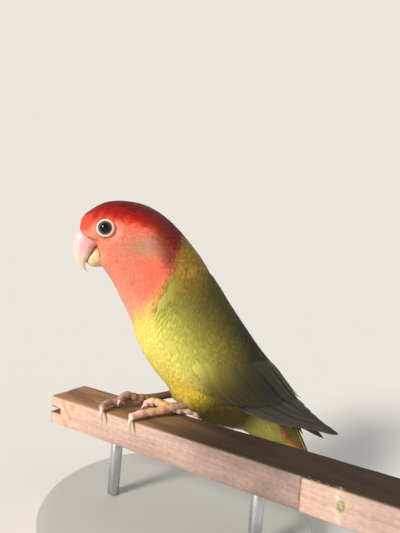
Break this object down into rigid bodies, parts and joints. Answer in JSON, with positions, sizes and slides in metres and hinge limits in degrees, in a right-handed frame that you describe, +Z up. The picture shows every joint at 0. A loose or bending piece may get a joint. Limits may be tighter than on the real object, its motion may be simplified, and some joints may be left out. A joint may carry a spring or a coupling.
{
  "type": "peach faced lovebird still model",
  "caption": "Still, life-size model of a peach faced lovebird that grips a short sawn batten, held by a plain round display stand.",
  "frame": {"origin": "middle of the underside of the round base", "axes": "+Z up, the bird looks along -X, and its left side is on -Y"},
  "size_m": [0.1392, 0.132, 0.1393],
  "materials": {
    "face_feathers": "soft short feathers, crimson to salmon",
    "breast_feathers": "soft short feathers, lemon yellow",
    "body_feathers": "soft short feathers, olive green",
    "flight_feathers": "stiff smooth feathers, dark olive",
    "bill_horn": "smooth pale horn",
    "bare_skin": "fine bare skin",
    "foot_scales": "fine pinkish scales",
    "claw_horn": "smooth horn",
    "eye": "wet, polished",
    "sawn_wood": "sawn and weathered",
    "stand_paint": "painted, satin charcoal",
    "rod_steel": "brushed"
  },
  "bodies": {
    "root": {"head": "face_feathers", "neck": "face_feathers", "breast": "breast_feathers", "torso": "body_feathers", "rump": "body_feathers", "tail": "flight_feathers", "wing_left": "flight_feathers", "wing_right": "flight_feathers", "upper_bill": "bill_horn", "lower_bill": "bill_horn", "eye_left": "eye", "eye_right": "eye", "eyelid_left": "bare_skin", "eyelid_right": "bare_skin", "thigh_left": "body_feathers", "thigh_right": "body_feathers", "leg_left": "foot_scales", "leg_right": "foot_scales", "perch": "sawn_wood", "stand_base": "stand_paint", "stand_rod_1": "rod_steel", "stand_rod_2": "rod_steel", "toe_left_1": "foot_scales", "toe_left_2": "foot_scales", "toe_left_3": "foot_scales", "toe_left_4": "foot_scales", "claw_left_1": "claw_horn", "claw_left_2": "claw_horn", "claw_left_3": "claw_horn", "claw_left_4": "claw_horn", "toe_right_1": "foot_scales", "toe_right_2": "foot_scales", "toe_right_3": "foot_scales", "toe_right_4": "foot_scales", "claw_right_1": "claw_horn", "claw_right_2": "claw_horn", "claw_right_3": "claw_horn", "claw_right_4": "claw_horn"}
  },
  "joints": []
}
